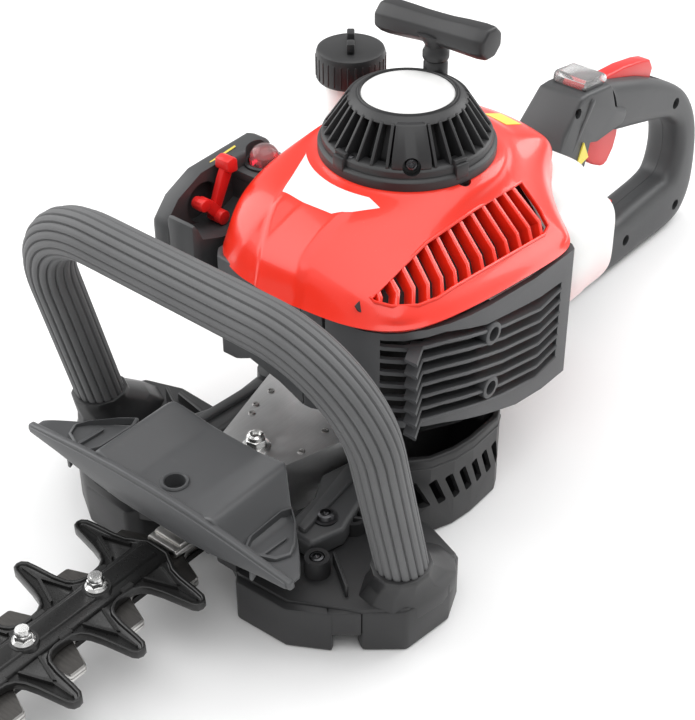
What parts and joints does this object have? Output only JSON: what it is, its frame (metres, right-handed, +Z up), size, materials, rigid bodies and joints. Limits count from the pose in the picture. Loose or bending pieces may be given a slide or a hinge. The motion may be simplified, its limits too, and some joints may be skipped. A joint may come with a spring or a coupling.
{
  "type": "hedge trimmer",
  "caption": "Petrol hedge trimmer with a two-sided reciprocating blade under a comb guard, a front loop handle and a swivelling rear handle.",
  "frame": {"origin": "on the crankshaft's axis, in the flat plane that the machine stands on, at the face of the foot under the gear case", "axes": "+X forward along the blades to their tip, +Y to the muffler side (the operator's left), +Z up along the crankshaft"},
  "size_m": [1.132, 0.28, 0.2787],
  "materials": {
    "red_cowl": "glossy injection moulded",
    "red_control": "satin moulded",
    "black_plastic": "fine grained",
    "dark_plastic": "fine grained",
    "grey_plastic": "grained satin",
    "grip_rubber": "ribbed matt",
    "tank_plastic": "milky translucent",
    "clear_plastic": "clear",
    "bulb_plastic": "clear soft",
    "badge_white": "glossy",
    "cast_aluminium": "cast and brushed",
    "black_steel": "black coated",
    "steel": "ground",
    "zinc_steel": "bright zinc",
    "plug_ceramic": "glazed",
    "foam": "open foam",
    "rope": "braided"
  },
  "bodies": {
    "frame": {"gear_case": "cast_aluminium", "gear_cover": "black_steel", "gear_axle": "steel", "gear_bearings": "steel", "clutch_housing": "cast_aluminium", "crankcase": "cast_aluminium", "crank_bearings": "steel", "connecting_rod": "steel", "piston": "cast_aluminium", "cylinder": "cast_aluminium", "spark_plug": "plug_ceramic", "ignition_coil": "dark_plastic", "muffler": "black_steel", "muffler_cover": "dark_plastic", "carburettor": "cast_aluminium", "air_filter": "foam", "air_box": "dark_plastic", "engine_cover": "red_cowl", "lower_cowl": "black_plastic", "lower_shroud": "black_plastic", "starter_housing": "black_plastic", "starter_badge": "badge_white", "recoil_spring": "steel", "starter_rope": "rope", "fuel_tank": "tank_plastic", "handle_mount": "black_plastic", "base_bracket": "black_plastic", "front_guard": "grey_plastic", "side_arms": "black_plastic", "front_handle": "dark_plastic", "front_grip": "grip_rubber", "frame_screws": "zinc_steel", "guide_bar": "black_steel", "comb_guard": "black_plastic", "blade_bolts": "zinc_steel", "blade_nuts": "zinc_steel", "root_clamp": "steel"},
    "crank": {"crankshaft": "steel", "flywheel": "cast_aluminium", "clutch_shoes": "steel"},
    "clutch": {"clutch_drum": "steel", "drive_pinion": "steel"},
    "gear": {"drive_gear": "steel", "blade_eccentrics": "steel"},
    "upper_blade": {"upper_blade": "steel"},
    "lower_blade": {"lower_blade": "steel"},
    "choke": {"choke_lever": "red_control"},
    "primer": {"primer_bulb": "bulb_plastic"},
    "pulley": {"starter_pulley": "cast_aluminium"},
    "pull_grip": {"starter_grip": "black_plastic"},
    "cap": {"fuel_cap": "black_plastic"},
    "rear_handle": {"switch_housing": "dark_plastic", "handle_shell_left": "dark_plastic", "handle_shell_right": "dark_plastic", "switch_cover": "clear_plastic", "handle_screws": "zinc_steel"},
    "throttle": {"throttle_trigger": "red_control"},
    "lockout": {"lockout_lever": "red_control"},
    "stop_switch": {"stop_switch": "red_control"},
    "swivel_lock": {"swivel_lock": "red_control"}
  },
  "joints": [
    {"name": "crank_spin", "type": "hinge", "parent": "frame", "child": "crank", "pos_m": [0, 0, 0.131], "axis": [0, 0, 1], "continuous": true},
    {"name": "clutch_spin", "type": "hinge", "parent": "frame", "child": "clutch", "pos_m": [0, 0, 0.06], "axis": [0, 0, 1], "continuous": true},
    {"name": "gear_spin", "type": "hinge", "parent": "frame", "child": "gear", "pos_m": [0.045, 0, 0.048], "axis": [0, 0, 1], "continuous": true},
    {"name": "upper_blade_slide", "type": "slide", "parent": "frame", "child": "upper_blade", "axis": [1, 0, 0], "range_m": [-0.007, 0.007]},
    {"name": "lower_blade_slide", "type": "slide", "parent": "frame", "child": "lower_blade", "axis": [1, 0, 0], "range_m": [-0.007, 0.007]},
    {"name": "choke_turn", "type": "hinge", "parent": "frame", "child": "choke", "pos_m": [0.088, -0.0755, 0.17], "axis": [0, 1, 0], "range_deg": [0, 28]},
    {"name": "primer_press", "type": "slide", "parent": "frame", "child": "primer", "axis": [0, 0, -1], "range_m": [0, 0.004], "stiffness_N_per_m": 900, "springref_m": -0.001},
    {"name": "starter_pull", "type": "slide", "parent": "frame", "child": "pull_grip", "axis": [0, 0, 1], "range_m": [0, 0.6], "stiffness_N_per_m": 12, "springref_m": -0.6, "deforming": ["starter_rope"]},
    {"name": "pulley_spin", "type": "hinge", "parent": "frame", "child": "pulley", "pos_m": [0, 0, 0.206], "axis": [0, 0, 1], "range_deg": [0, 1400]},
    {"name": "fuel_cap_turn", "type": "hinge", "parent": "frame", "child": "cap", "pos_m": [-0.04, -0.078, 0.222], "axis": [0, 0, 1], "range_deg": [0, 720]},
    {"name": "handle_swivel", "type": "hinge", "parent": "frame", "child": "rear_handle", "pos_m": [-0.138, 0, 0.072], "axis": [1, 0, 0], "range_deg": [-90, 90]},
    {"name": "throttle_squeeze", "type": "hinge", "parent": "rear_handle", "child": "throttle", "pos_m": [-0.21, 0, 0.139], "axis": [0, 1, 0], "range_deg": [0, 18], "stiffness_Nm_per_rad": 0.6, "springref_deg": -11.46},
    {"name": "lockout_press", "type": "hinge", "parent": "rear_handle", "child": "lockout", "pos_m": [-0.214, 0, 0.156], "axis": [0, -1, 0], "range_deg": [0, 8], "stiffness_Nm_per_rad": 0.6, "springref_deg": -11.46},
    {"name": "stop_switch_rock", "type": "hinge", "parent": "rear_handle", "child": "stop_switch", "pos_m": [-0.19, 0, 0.168], "axis": [0, 1, 0], "range_deg": [0, 14]},
    {"name": "swivel_lock_press", "type": "hinge", "parent": "rear_handle", "child": "swivel_lock", "pos_m": [-0.219, 0, 0.047], "axis": [0, -1, 0], "range_deg": [0, 12], "stiffness_Nm_per_rad": 0.3, "springref_deg": -11.46}
  ],
  "couplings": [
    {"joint": "gear_spin", "follows": "clutch_spin", "ratio": -0.25},
    {"joint": "lower_blade_slide", "follows": "upper_blade_slide", "ratio": -1},
    {"joint": "pulley_spin", "follows": "starter_pull", "rad_per_m": 40}
  ]
}
